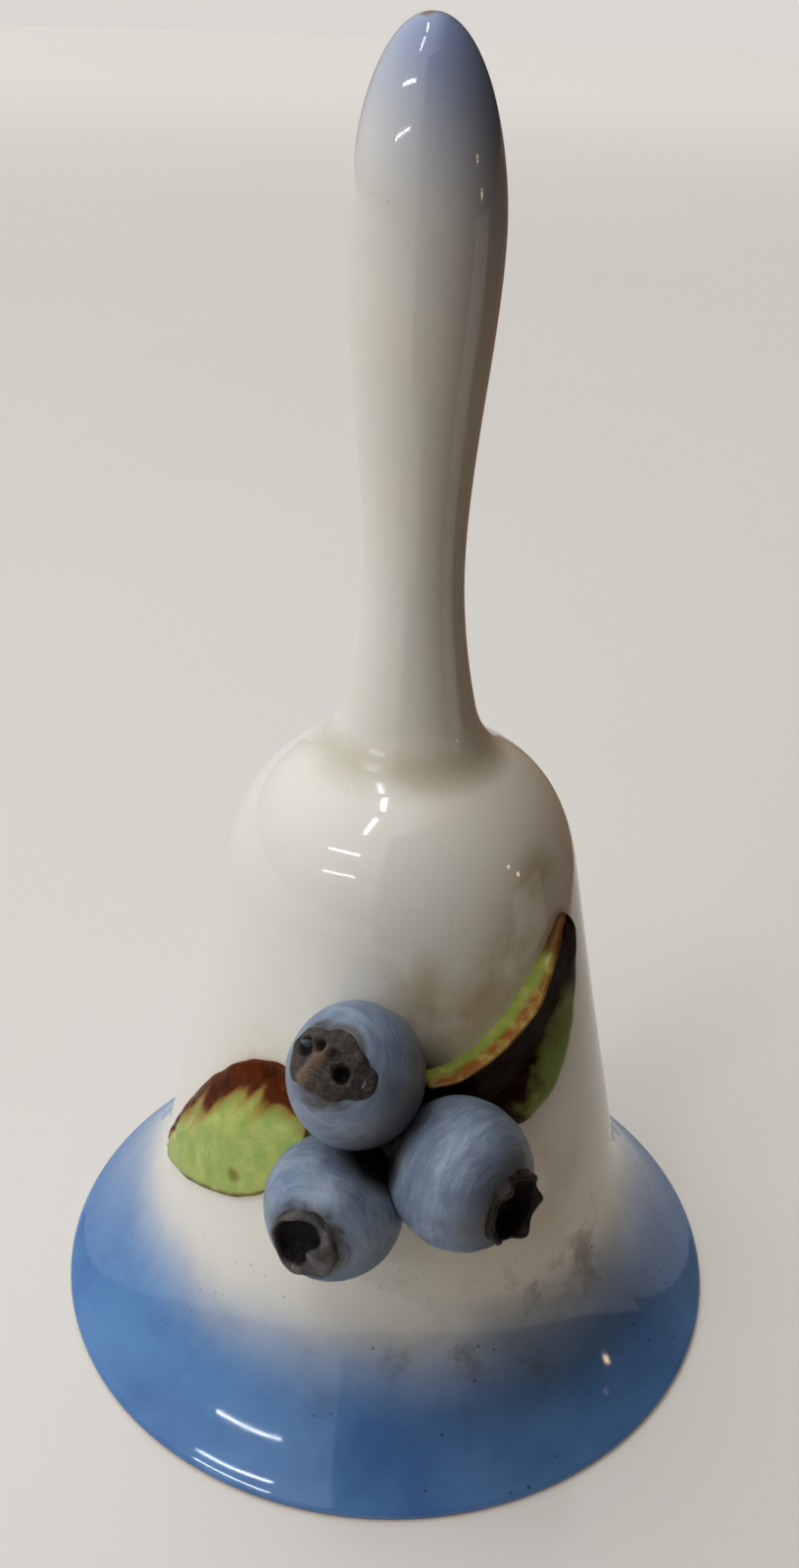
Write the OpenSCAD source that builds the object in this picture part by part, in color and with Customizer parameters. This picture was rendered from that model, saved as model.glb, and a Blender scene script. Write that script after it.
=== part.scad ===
// Porcelain hand bell with a hollow handle, an applied sprig of three berries
// and two leaves, and a bead clapper on a three-link chain.
// Millimetres, +Z up. The origin is the centre of the rim, on the surface
// that the bell stands on. The berries face -Y.

/* [Bell body] */
// Diameter across the flared rim
rim_d = 76; // [74:0.5:78]
// Height of the neck joint, where the handle is luted on
seat_z = 68.7; // [67.5:0.1:70]
// Diameter of the neck joint
seat_d = 16.1; // [15.5:0.1:17]
// Thickness of the cast wall
wall = 2.6; // [2.2:0.1:3]
// Radius of the rounded lip at the rim
lip_r = 0.65; // [0.5:0.05:0.8]

/* [Handle] */
// Overall height of the bell
total_h = 134; // [130:0.5:138]
// Diameter at the slimmest place
waist_d = 9.8; // [9.4:0.1:10.6]
// Diameter of the grip's bulge
grip_d = 13.8; // [13:0.1:15]
// Thickness of the cast handle wall
handle_wall = 2.3; // [2:0.1:2.4]
// Diameter of the hole in the crown, which takes the handle's spigot
crown_hole_d = 10; // [9.6:0.1:10.4]

/* [Berries and leaves] */
// Radius of the upper berry
berry_upper_r = 6.7; // [6:0.1:6.8]
// Radius of the lower left berry
berry_left_r = 7; // [6.4:0.1:7.1]
// Radius of the lower right berry
berry_right_r = 7.2; // [6.6:0.1:7.3]
// Thickness of a leaf
leaf_t = 1.1; // [0.8:0.1:1.3]
// Height that the right leaf's curled margin stands off the skirt
curl_h = 2.6; // [1.8:0.1:2.8]

/* [Clapper] */
// Wire diameter of the staple, the links and the pin
wire_d = 1; // [0.9:0.05:1.05]
// Length of a link between one pivot and the next
pitch = 9; // [8.5:0.1:9.2]
// Diameter of the bead
bead_d = 13; // [12:0.5:13.5]
// Height of the bead's centre
bead_z = 18; // [17.5:0.5:19]

/* [Hidden] */
$fn = 96;

glaze_white = [0.93, 0.91, 0.87];
berry_blue = [0.43, 0.5, 0.63];
calyx_dark = [0.16, 0.15, 0.17];
leaf_green = [0.55, 0.66, 0.33];
wire_grey = [0.62, 0.62, 0.62];
cement_grey = [0.78, 0.76, 0.71];

// Gap that a luted, slipped or cemented seam leaves between two pieces
seam = 0.02;
// Gap under a leaf, more than its flat facets dip towards the round skirt
leaf_gap = 0.05;
// Gap between the spigot and the crown hole, filled by slip in the real bell
spigot_gap = 0.05;
// Radial clearance where one wire hangs on another
wire_gap = 0.05;

// Body outline: [radius, height] of the places where its curves meet
rim_r = rim_d / 2;
flare_top = [rim_r - 12.4, 19.6];
skirt_top = [18.3, 55.7];
neck = [seat_d / 2, seat_z];
skirt_dir = (skirt_top - flare_top) / norm(skirt_top - flare_top);
// Slope of the shoulder where it meets the neck
neck_dir = [-1, 0.4] / norm([-1, 0.4]);
// Angle of the lip arc's upper end, square to the flare's first direction
lip_end = 56;
lip_centre = [rim_r - lip_r, lip_r];
lip_top = lip_centre + lip_r * [cos(lip_end), sin(lip_end)];

// Handle outline
waist = [waist_d / 2, total_h - 46.6];
grip = [grip_d / 2, total_h - 17.3];
tip = [0, total_h];

// Bore in the foot of the handle, which the cement fills
bore_r = 3.6;
spigot_low = seat_z - 3.2;
bore_top = seat_z + 7.3;
plug_low = seat_z - 2.6;

// Angle that the skirt leans in by
lean = atan2(flare_top[0] - skirt_top[0], skirt_top[1] - flare_top[1]);

// Berries: azimuth from -Y towards +X, height, and depth pressed into the skirt
upper_at = [-7.7, 46.9, 1.0];
left_at = [-10.4, 32.8, 1.6];
right_at = [13.5, 37.6, 0.4];
// Calyx directions: azimuth and elevation of the way each one faces
upper_faces = [-35, 43];
left_faces = [-23, 7];
right_faces = [46, 4];
calyx_r = 3.6;
calyx_h = 1.7;
lobe_n = 5;

// Leaf margins as Bezier points of [azimuth, height] on the skirt, base to tip
left_upper = [[-20.5, 37], [-29, 48.4], [-62, 36.4], [-73.2, 21.6]];
left_lower = [[-23.5, 31], [-33, 24.1], [-55, 22.2], [-72, 19.8]];
right_upper = [[8, 43.2], [27, 43.9], [42, 51.3], [60, 55]];
right_lower = [[34, 35.6], [48, 35.6], [63, 42], [62.5, 54.4]];

// Chain: each pivot is the centre of the wire that the next piece hangs on
wire_r = wire_d / 2;
link_bend_r = 1.6;
link_l = pitch + wire_d + wire_gap;
staple_bend_r = 2;
eye_z = bead_z + 13;
pivot_z = [for (i = [0:3]) eye_z + (3 - i) * pitch];
hang = wire_d + wire_gap;
pin_head_r = 1.5;
pin_head_h = 0.6;
bead_flat = 0.25;
bead_bore_gap = 0.04;

function bez(p, t) = pow(1 - t, 3) * p[0] + 3 * t * pow(1 - t, 2) * p[1]
    + 3 * t * t * (1 - t) * p[2] + pow(t, 3) * p[3];
// Points of a curve from its start up to, but not including, its end
function curve(p, n) = [for (i = [0:n - 1]) bez(p, i / n)];
function along(p, i) = p[min(i + 1, len(p) - 1)] - p[max(i - 1, 0)];
// A traced outline moved to its left by d, square to itself
function inset(p, d) = [for (i = [0:len(p) - 1]) let (v = along(p, i) / norm(along(p, i)))
    p[i] + d * [-v[1], v[0]]];

flare_line = curve([lip_top, [33.5, 4], flare_top - 7 * skirt_dir, flare_top], 14);
shoulder_line = curve([skirt_top, skirt_top + 8 * skirt_dir, neck - 5.4 * neck_dir, neck], 12);
lip_line = [for (i = [0:4]) lip_centre + lip_r * [cos(-90 + i * 29), sin(-90 + i * 29)]];
body_line = concat(flare_line, [flare_top], shoulder_line, [neck]);
neck_line = curve([neck, neck + [-0.78, 1.55], waist - [0, 7.9], waist], 12);
grip_line = curve([waist, waist + [0, 10.2], grip - [0, 9.8], grip], 10);
tip_line = curve([grip, grip + [0, 8.4], tip + [4.3, 0], tip], 14);

function skirt_r(z) = flare_top[0] - (z - flare_top[1]) * tan(lean);
// Point that stands off the skirt by lift, at [azimuth, height] p
function on_skirt(p, lift) = let (r = skirt_r(p[1]) + lift * cos(lean))
    [r * sin(p[0]), -r * cos(p[0]), p[1] + lift * sin(lean)];
// Centre of a berry of radius r that is pressed into the skirt by at[2]
function berry_c(at, r) = let (out = r - at[2], z0 = at[1] - out * sin(lean))
    on_skirt([at[0], z0], out);

module revolve(points) {
    rotate_extrude() polygon(points);
}

module bell_body() {
    inner = inset(body_line, wall);
    color(glaze_white) difference() {
        revolve(concat([[0, 0]], lip_line, body_line, [[0, seat_z]]));
        revolve(concat([[0, -3]], inner, [[0, inner[len(inner) - 1][1] + 0.3]]));
        cylinder(d = crown_hole_d, h = 3 * seat_z, center = true);
    }
}

module handle() {
    outer = concat(neck_line, grip_line, tip_line, [tip]);
    cavity = inset(concat(neck_line, grip_line, tip_line), handle_wall);
    spigot_r = crown_hole_d / 2 - spigot_gap;
    color(glaze_white) difference() {
        union() {
            revolve(concat([[0, seat_z]], outer));
            translate([0, 0, spigot_low]) cylinder(r = spigot_r, h = seat_z - spigot_low + 1);
        }
        revolve(concat([[0, bore_top - 0.5]],
            [for (p = cavity) if (p[1] > bore_top - 0.5 && p[0] > 0) p],
            [[0, total_h - handle_wall]]));
        translate([0, 0, spigot_low - 1]) cylinder(r = bore_r, h = bore_top - spigot_low + 1);
    }
}

// A leaf is a grid between its two margins. Its back lies on the skirt and
// rise(u, v) is the height of its face, with u from base to tip and v across.
module leaf(lower, upper, us, vs, rise) {
    nu = len(us);
    nv = len(vs);
    function at(u, v) = (1 - v) * bez(lower, u) + v * bez(upper, u);
    face = [for (u = us) for (v = vs) on_skirt(at(u, v), rise(u, v))];
    back = [for (u = us) for (v = vs) on_skirt(at(u, v), leaf_gap)];
    half = nu * nv;
    edge = concat([for (j = [0:nv - 2]) j], [for (i = [0:nu - 2]) i * nv + nv - 1],
        [for (j = [nv - 1:-1:1]) (nu - 1) * nv + j], [for (i = [nu - 1:-1:1]) i * nv]);
    cells = [for (i = [0:nu - 2]) for (j = [0:nv - 2]) i * nv + j];
    polyhedron(points = concat(face, back), faces = concat(
        [for (k = cells) each [[k, k + 1, k + nv + 1], [k, k + nv + 1, k + nv]]],
        [for (k = cells) each [[half + k, half + k + nv + 1, half + k + 1],
            [half + k, half + k + nv, half + k + nv + 1]]],
        [for (i = [0:len(edge) - 1]) let (a = edge[i], b = edge[(i + 1) % len(edge)])
            each [[a, half + a, b], [b, half + a, half + b]]]));
}

module leaf_left() {
    rise = function (u, v) leaf_t * (0.55 + 0.45 * sqrt(sin(180 * v)) * (1 - 0.4 * u));
    color(leaf_green) leaf(left_lower, left_upper, [for (i = [0:12]) i / 12],
        [for (j = [0:8]) j / 8], rise);
}

module leaf_right() {
    // The margin near v = 1 curls up into a lip beside the hollow midrib
    lip = function (v) v < 0.72 ? 0 : pow(sin(min(90, (v - 0.72) * 400)), 2);
    rise = function (u, v) leaf_t * (0.6 + 0.4 * sin(180 * v))
        + (curl_h - 0.6 * leaf_t) * lip(v) * (1 - 0.5 * u * u);
    color(leaf_green) leaf(right_lower, right_upper, [for (i = [0:14]) i / 14],
        [0, 0.15, 0.35, 0.55, 0.72, 0.8, 0.88, 0.95, 1], rise);
}

module turned_to(faces) {
    rotate([0, 0, faces[0]]) rotate([90 - faces[1], 0, 0]) children();
}

module skirt_cone() {
    translate([0, 0, flare_top[1]])
        cylinder(r1 = flare_top[0] + seam, r2 = skirt_top[0] + seam, h = skirt_top[1] - flare_top[1]);
}

// A ball of clay, pressed against the skirt and cut by its children. The
// sphere is turned so that its start line lies clear of the cuts.
module berry(at, r, faces, start = 0) {
    color(berry_blue) difference() {
        translate(berry_c(at, r)) rotate([0, 0, start]) sphere(r = r);
        skirt_cone();
        // Shallow pit under the calyx
        translate(berry_c(at, r)) turned_to(faces) translate([0, 0, r - 0.9])
            cylinder(r1 = 1.2, r2 = 1.8, h = 2);
        children();
    }
}

module calyx(at, r, faces) {
    color(calyx_dark) translate(berry_c(at, r)) difference() {
        turned_to(faces) translate([0, 0, r - 1.2]) difference() {
            cylinder(r1 = calyx_r - 0.6, r2 = calyx_r, h = calyx_h);
            translate([0, 0, -0.1]) cylinder(r1 = 1.2, r2 = calyx_r - 0.7, h = calyx_h + 0.2);
            for (i = [0:lobe_n - 1]) rotate([0, 0, i * 360 / lobe_n])
                translate([calyx_r, 0, calyx_h]) rotate([0, -90, 0])
                    cylinder(r1 = 0.9, r2 = 0.6, h = 1.6);
        }
        sphere(r = r + seam);
    }
}

module berry_upper() {
    berry(upper_at, berry_upper_r, upper_faces);
}

// The two lower balls were pressed together while soft, so they share a flat:
// everything past the middle of their contact, seen from the ball at a
module past_contact(a, ra, b, rb) {
    v = b - a;
    d = norm(v);
    flat_at = (d * d + ra * ra - rb * rb) / (2 * d) - seam / 2;
    translate(a) turned_to([atan2(v[0], -v[1]), asin(v[2] / d)])
        translate([0, 0, flat_at]) cylinder(r = ra, h = 2 * ra);
}

module berry_lower_left() {
    berry(left_at, berry_left_r, left_faces, 180)
        past_contact(berry_c(left_at, berry_left_r), berry_left_r,
            berry_c(right_at, berry_right_r), berry_right_r);
}

module berry_lower_right() {
    berry(right_at, berry_right_r, right_faces)
        past_contact(berry_c(right_at, berry_right_r), berry_right_r,
            berry_c(left_at, berry_left_r), berry_left_r);
}

module calyx_upper() {
    calyx(upper_at, berry_upper_r, upper_faces);
}

module calyx_lower_left() {
    calyx(left_at, berry_left_r, left_faces);
}

module calyx_lower_right() {
    calyx(right_at, berry_right_r, right_faces);
}

module half_ring(bend_r, grow = 0) {
    rotate([90, 0, 0]) rotate_extrude(angle = 180) translate([bend_r, 0]) circle(r = wire_r + grow);
}

// A wire U in the XZ plane with the centre of its lowest wire at height z
module staple(z, leg_h, grow = 0) {
    translate([0, 0, z + staple_bend_r]) {
        mirror([0, 0, 1]) half_ring(staple_bend_r, grow);
        for (s = [-1, 1]) translate([s * staple_bend_r, 0, 0]) cylinder(r = wire_r + grow, h = leg_h);
    }
}

// A long link in the XZ plane whose upper wire hangs on a pivot at height z
module link(z) {
    straight = link_l - 2 * link_bend_r;
    color(wire_grey) translate([0, 0, z + hang - link_l + link_bend_r]) {
        translate([0, 0, straight]) half_ring(link_bend_r);
        mirror([0, 0, 1]) half_ring(link_bend_r);
        for (s = [-1, 1]) translate([s * link_bend_r, 0, 0]) cylinder(r = wire_r, h = straight);
    }
}

module cement_plug() {
    color(cement_grey) difference() {
        translate([0, 0, plug_low]) cylinder(r = bore_r - seam, h = bore_top - plug_low - 0.1);
        staple(pivot_z[0], seat_z + 4 - pivot_z[0] + seam, seam);
    }
}

module hanger_staple() {
    color(wire_grey) staple(pivot_z[0], seat_z + 4 - pivot_z[0]);
}

module chain_link_upper() {
    rotate([0, 0, 90]) link(pivot_z[0]);
}

module chain_link_middle() {
    link(pivot_z[1]);
}

module chain_link_lower() {
    rotate([0, 0, 90]) link(pivot_z[2]);
}

module clapper_pin() {
    eye_c = pivot_z[3] + hang - link_bend_r;
    bead_low = bead_z - bead_d / 2 + bead_flat;
    shank_top = eye_c - link_bend_r;
    color(wire_grey) {
        translate([0, 0, eye_c]) rotate([90, 0, 0])
            rotate_extrude() translate([link_bend_r, 0]) circle(r = wire_r);
        translate([0, 0, bead_low - seam]) cylinder(r = wire_r, h = shank_top - bead_low);
        translate([0, 0, bead_low - seam - pin_head_h]) cylinder(r = pin_head_r, h = pin_head_h);
    }
}

module clapper_bead() {
    half = bead_d / 2 - bead_flat;
    color(glaze_white) translate([0, 0, bead_z]) difference() {
        intersection() {
            sphere(d = bead_d);
            cylinder(r = bead_d, h = 2 * half, center = true);
        }
        cylinder(r = wire_r + bead_bore_gap, h = 2 * bead_d, center = true);
    }
}

bell_body();
handle();
leaf_left();
leaf_right();
berry_upper();
berry_lower_left();
berry_lower_right();
calyx_upper();
calyx_lower_left();
calyx_lower_right();
cement_plug();
hanger_staple();
chain_link_upper();
chain_link_middle();
chain_link_lower();
clapper_pin();
clapper_bead();
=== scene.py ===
"""Porcelain hand bell with an applied sprig of berries: its looks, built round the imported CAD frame."""

import math

import bmesh
import bpy
import numpy as np
from mathutils import Matrix, Vector, noise


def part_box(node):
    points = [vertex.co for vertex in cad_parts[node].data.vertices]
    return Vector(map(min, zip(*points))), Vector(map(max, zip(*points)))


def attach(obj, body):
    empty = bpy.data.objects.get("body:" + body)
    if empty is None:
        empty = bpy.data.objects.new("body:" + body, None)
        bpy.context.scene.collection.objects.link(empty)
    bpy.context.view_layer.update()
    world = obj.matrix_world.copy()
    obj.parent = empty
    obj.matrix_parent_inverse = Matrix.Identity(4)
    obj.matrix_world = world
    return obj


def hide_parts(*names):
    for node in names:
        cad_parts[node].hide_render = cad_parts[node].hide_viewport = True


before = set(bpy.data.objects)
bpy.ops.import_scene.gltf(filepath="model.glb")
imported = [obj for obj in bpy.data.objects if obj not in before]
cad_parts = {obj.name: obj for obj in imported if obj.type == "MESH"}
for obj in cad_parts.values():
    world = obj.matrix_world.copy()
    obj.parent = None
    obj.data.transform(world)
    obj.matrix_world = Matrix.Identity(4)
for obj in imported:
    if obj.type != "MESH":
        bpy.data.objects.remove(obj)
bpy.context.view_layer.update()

# Shapes are worked out in millimetres and turned into metres when a mesh is made.
MM = 0.001

# Blender seeds this noise from the clock, so it is fixed here, before its first use
NOISE_SEED = 7
noise.seed_set(NOISE_SEED)


def box_mm(node):
    low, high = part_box(node)
    return np.array(low) / MM, np.array(high) / MM


# -------- curves and meshes

def on_curve(controls, t):
    """Points at t, from 0 to 1, on the cubic curve of four control points."""
    a, b, c, d = (np.asarray(q, float) for q in controls)
    t = np.asarray(t, float)[..., None]
    return (1 - t) ** 3 * a + 3 * t * (1 - t) ** 2 * b + 3 * t * t * (1 - t) * c + t ** 3 * d


def bezier(a, b, c, d, count):
    """Points of a cubic curve from a up to, but not including, d."""
    return on_curve((a, b, c, d), np.linspace(0, 1, count, endpoint=False))


def through(points, count):
    """A smooth open curve through every point, spaced evenly by control point."""
    p = np.asarray(points, float)
    p = np.vstack([2 * p[0] - p[1], p, 2 * p[-1] - p[-2]])
    t = np.linspace(0, len(p) - 3, count)
    i = np.minimum(t.astype(int), len(p) - 4)
    f = (t - i)[:, None]
    a, b, c, d = p[i], p[i + 1], p[i + 2], p[i + 3]
    square = 2 * a - 5 * b + 4 * c - d
    cube = 3 * b - a - 3 * c + d
    return 0.5 * (2 * b + (c - a) * f + square * f ** 2 + cube * f ** 3)


def unit(v):
    v = np.asarray(v, float)
    return v / np.linalg.norm(v, axis=-1, keepdims=True)


def beside(path, distance):
    """A path moved to its left, square to itself."""
    along = unit(np.gradient(path, axis=0))
    return path + distance * np.column_stack([-along[:, 1], along[:, 0]])


def rounded(path, radius, closed=False, least=0.35, steps=4):
    """The path with each corner that turns by more than least radians made into a small arc."""
    path = np.asarray(path, float)
    out = []
    count = len(path)
    for i, p in enumerate(path):
        before, after = path[i - 1], path[(i + 1) % count]
        ends = not closed and i in (0, count - 1)
        u, v = p - before, after - p
        if ends or np.dot(unit(u), unit(v)) > math.cos(least):
            out.append(p)
            continue
        back = min(radius, 0.45 * np.linalg.norm(u), 0.45 * np.linalg.norm(v))
        a, b = p - unit(u) * back, p + unit(v) * back
        for t in np.linspace(0, 1, steps + 1):
            out.append((1 - t) ** 2 * a + 2 * t * (1 - t) * p + t * t * b)
    return np.array(out)


def piece(name, body, points, faces, material, replaces=(), values=None):
    """A closed smooth mesh that rides on a body and stands for CAD nodes."""
    mesh = bpy.data.meshes.new(name)
    mesh.from_pydata((np.asarray(points, float) * MM).tolist(), [], faces)
    for key, data in (values or {}).items():
        data = np.asarray(data, np.float32)
        kind, field = ("FLOAT_VECTOR", "vector") if data.ndim == 2 else ("FLOAT", "value")
        mesh.attributes.new(key, kind, "POINT").data.foreach_set(field, data.ravel())
    work = bmesh.new()
    work.from_mesh(mesh)
    bmesh.ops.recalc_face_normals(work, faces=work.faces)
    work.to_mesh(mesh)
    work.free()
    mesh.polygons.foreach_set("use_smooth", [True] * len(mesh.polygons))
    mesh.materials.append(material)
    thing = bpy.data.objects.new(name, mesh)
    bpy.context.scene.collection.objects.link(thing)
    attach(thing, body)
    if replaces:
        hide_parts(*replaces)
    return thing


def ring_faces(rings, around, loop=False):
    """Quads between rings of points; the last ring meets the first one if loop is set."""
    last = rings if loop else rings - 1
    return [[i * around + j, i * around + (j + 1) % around,
             (i + 1) % rings * around + (j + 1) % around, (i + 1) % rings * around + j]
            for i in range(last) for j in range(around)]


def capped(rings, around, first, last):
    """Ring faces closed by fans to two end points, whose indices are first and last."""
    faces = ring_faces(rings, around)
    top = (rings - 1) * around
    faces += [[first, (j + 1) % around, j] for j in range(around)]
    faces += [[last, top + j, top + (j + 1) % around] for j in range(around)]
    return faces


def turned(outline, around=256, closed=False):
    """Points and faces of an outline of [radius, height] turned about the Z axis.
    A closed outline makes a ring; an open one starts and ends on the axis."""
    outline = np.asarray(outline, float)
    body = outline if closed else outline[1:-1]
    a = np.linspace(0, 2 * math.pi, around, endpoint=False)
    r, z = body[:, 0][:, None], body[:, 1][:, None]
    height = np.broadcast_to(z, (len(body), around))
    points = np.dstack([r * np.sin(a), -r * np.cos(a), height]).reshape(-1, 3)
    if closed:
        return points, ring_faces(len(body), around, loop=True)
    ends = np.array([[0, 0, outline[0, 1]], [0, 0, outline[-1, 1]]])
    count = len(points)
    return np.vstack([points, ends]), capped(len(body), around, count, count + 1)


def swept(path, radius, loop=False, sides=24):
    """A round wire along a path; radius may change along it."""
    path = np.asarray(path, float)
    radius = np.broadcast_to(radius, len(path))
    along = np.roll(path, -1, 0) - np.roll(path, 1, 0)
    if not loop:
        along[0], along[-1] = path[1] - path[0], path[-1] - path[-2]
    along = unit(along)
    # Every wire here lies in a plane, whose normal is one side of its section
    flat = unit(np.linalg.svd(path - path.mean(0))[2][2])
    other = np.cross(along, flat)
    a = np.linspace(0, 2 * math.pi, sides, endpoint=False)
    ring = np.cos(a)[None, :, None] * flat + np.sin(a)[None, :, None] * other[:, None, :]
    points = (path[:, None, :] + radius[:, None, None] * ring).reshape(-1, 3)
    if loop:
        return points, ring_faces(len(path), sides, loop=True)
    count = len(points)
    return np.vstack([points, path[:1], path[-1:]]), capped(len(path), sides, count, count + 1)


def joined(*parts):
    """One list of points and faces from several."""
    points, faces = [], []
    for p, f in parts:
        start = sum(map(len, points))
        points.append(p)
        faces += [[start + k for k in face] for face in f]
    return np.vstack(points), faces


def wavy(points, size, seed, out=3.0):
    """Points moved by soft noise, up to about size, with features about out across."""
    points = np.asarray(points, float)
    shift = Vector((seed * 17.3, seed * 5.1, seed * 9.7))
    return points + size * np.array([noise.noise_vector(Vector(p / out) + shift) for p in points])


# -------- materials

def srgb(red, green, blue):
    """A colour from 0 to 255 as linear RGBA."""
    part = [c / 255 for c in (red, green, blue)]
    return tuple(c / 12.92 if c < 0.04045 else ((c + 0.055) / 1.055) ** 2.4 for c in part) + (1.0,)


def add_node(tree, kind, inputs=None, out=0, **settings):
    """A new node whose inputs are sockets or values; returns one of its outputs."""
    node = tree.nodes.new("ShaderNode" + kind)
    for key, value in settings.items():
        setattr(node, key, value)
    for key, value in (inputs or {}).items():
        if isinstance(value, bpy.types.NodeSocket):
            tree.links.new(value, node.inputs[key])
        else:
            node.inputs[key].default_value = value
    return node.outputs[out]


class Shader:
    """A material whose nodes are made by short calls, each of which returns a socket."""

    def __init__(self, name, **constants):
        self.material = bpy.data.materials.new(name)
        self.material.use_nodes = True
        self.tree = self.material.node_tree
        self.surface = self.tree.nodes["Principled BSDF"]
        for key, value in constants.items():
            self.surface.inputs[key.replace("_", " ")].default_value = value
        place = self.add("TexCoord", out="Object")
        self.place = self.add("VectorMath", {0: place, "Scale": 1 / MM}, operation="SCALE")
        split = self.add("SeparateXYZ", {0: self.place}).node
        self.x, self.y, self.z = split.outputs

    def add(self, kind, inputs=None, out=0, **settings):
        return add_node(self.tree, kind, inputs, out, **settings)

    def value(self, name, part=None):
        """A float that the mesh carries, or one part of a vector that it carries."""
        if part is None:
            return self.add("Attribute", out="Fac", attribute_name=name)
        vector = self.add("Attribute", out="Vector", attribute_name=name)
        return self.add("SeparateXYZ", {0: vector}, out=part)

    def math(self, operation, a, b=0.0):
        return self.add("Math", {0: a, 1: b}, operation=operation)

    def plus(self, base, extra, share):
        """base + extra * share."""
        return self.math("ADD", base, self.math("MULTIPLY", extra, share))

    def sway(self, base, noise, amount):
        """base moved either way by a noise whose middle is 0.5."""
        return self.plus(base, self.math("SUBTRACT", noise, 0.5), amount)

    def dot(self, a, b):
        return self.add("VectorMath", {0: a, 1: b}, out="Value", operation="DOT_PRODUCT")

    def span(self, value, low, high, to_low=0.0, to_high=1.0):
        """Smooth step of value from low to high."""
        names = ("Value", "From Min", "From Max", "To Min", "To Max")
        return self.add("MapRange", dict(zip(names, (value, low, high, to_low, to_high))),
                        interpolation_type="SMOOTHSTEP")

    def noise(self, scale, detail=3.0, rough=0.5, at=None, twist=0.0):
        inputs = {"Vector": at or self.place, "Scale": scale, "Detail": detail, "Roughness": rough,
                  "Distortion": twist}
        return self.add("TexNoise", inputs)

    def mix(self, factor, a, b):
        return self.add("Mix", {0: factor, 6: a, 7: b}, out=2, data_type="RGBA")

    def all_of(self, *factors):
        total = factors[0]
        for factor in factors[1:]:
            total = self.math("MULTIPLY", total, factor)
        return total

    def near(self, point, inner, outer):
        """1 within inner mm of a point, 0 beyond outer mm."""
        far = self.add("VectorMath", {0: self.place, 1: tuple(point)}, out="Value", operation="DISTANCE")
        return self.span(far, inner, outer, 1.0, 0.0)

    def stretched(self, x, y, z):
        """The place scaled by axis, for streaks."""
        return self.add("VectorMath", {0: self.place, 1: (x, y, z)}, operation="MULTIPLY")

    def finish(self, color, roughness=None, bump=None, depth=0.1):
        links = self.tree.links
        links.new(color, self.surface.inputs["Base Color"])
        if roughness is not None:
            links.new(roughness, self.surface.inputs["Roughness"])
        if bump is not None:
            normal = self.add("Bump", {"Height": bump, "Distance": depth * MM, "Strength": 1.0})
            links.new(normal, self.surface.inputs["Normal"])
        return self.material


# -------- the bell's own outline, as packed

body_low, body_high = box_mm("bell_body")
handle_low, handle_high = box_mm("handle")
RIM_R = round(float(body_high[0]), 1)
SEAT_Z = round(float(body_high[2]), 1)
TOP_Z = round(float(handle_high[2]), 1)
WALL = 2.6
LIP_R = 0.65
HOLE_R = 5.0
BORE_R = 3.6
LIP_END = math.radians(56)

flare_top = np.array([RIM_R - 12.4, 19.6])
skirt_top = np.array([18.3, 55.7])
neck = np.array([8.05, SEAT_Z])
waist = np.array([4.9, TOP_Z - 46.6])
grip = np.array([6.9, TOP_Z - 17.3])
tip = np.array([0, TOP_Z])
skirt_dir = unit(skirt_top - flare_top)
neck_dir = unit([-1, 0.4])
LEAN = math.atan2(flare_top[0] - skirt_top[0], skirt_top[1] - flare_top[1])


def lip_line():
    centre = np.array([RIM_R - LIP_R, LIP_R])
    a = np.linspace(-math.pi / 2, LIP_END, 9)
    return centre + LIP_R * np.column_stack([np.cos(a), np.sin(a)])


def body_line():
    """The outside of the body from the top of the lip to the neck joint."""
    start = lip_line()[-1]
    flare = bezier(start, [33.5, 4], flare_top - 7 * skirt_dir, flare_top, 36)
    skirt = bezier(flare_top, flare_top + 12 * skirt_dir, skirt_top - 12 * skirt_dir, skirt_top, 40)
    shoulder = bezier(skirt_top, skirt_top + 8 * skirt_dir, neck - 5.4 * neck_dir, neck, 36)
    return np.vstack([flare, skirt, shoulder, [neck]])


def handle_line():
    """The outside of the handle from the neck joint to the tip."""
    low = bezier(neck, neck + [-0.78, 1.55], waist - [0, 7.9], waist, 36)
    middle = bezier(waist, waist + [0, 10.2], grip - [0, 9.8], grip, 30)
    high = bezier(grip, grip + [0, 8.4], tip + [4.3, 0], tip, 44)
    return np.vstack([low, middle, high, [tip]])


def neck_fillet(body, handle, reach=3.4):
    """Softens the corner between the two lines, as slip and glaze fill it. Returns both lines,
    which now share a point half way along the fillet."""
    below = body[np.linalg.norm(body - neck, axis=1) > reach]
    above = handle[np.linalg.norm(handle - neck, axis=1) > reach * 1.15]
    t = np.linspace(0, 1, 17)[:, None]
    arc = (1 - t) ** 2 * below[-1] + 2 * t * (1 - t) * neck + t * t * above[0]
    # A ring close to the seam on either side keeps the shading smooth across it
    low, high = (arc[8] + 0.02 * unit(arc[k] - arc[8]) for k in (7, 9))
    return np.vstack([below, arc[1:8], [low], arc[8:9]]), np.vstack([arc[8:9], [high], arc[9:-1], above])


def skirt_r(z):
    return flare_top[0] - (z - flare_top[1]) * math.tan(LEAN)


def on_skirt(azimuth, z, lift=0.0):
    """Points that stand off the skirt by lift, at an azimuth in degrees from -Y towards +X."""
    azimuth = np.radians(azimuth)
    r = skirt_r(np.asarray(z, float)) + np.asarray(lift) * math.cos(LEAN)
    height = z + lift * math.sin(LEAN)
    return np.stack(np.broadcast_arrays(r * np.sin(azimuth), -r * np.cos(azimuth), height), -1)


outer_body, outer_handle = neck_fillet(body_line(), handle_line())
FILLET = outer_handle[0]


# -------- glazes and paints

WHITE = srgb(228, 226, 219)
BISCUIT_AND_SHADE = srgb(168, 146, 134)
BLUE = srgb(88, 137, 188)
DEEP_BLUE = srgb(66, 115, 172)
OLIVE = srgb(158, 138, 70)


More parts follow.
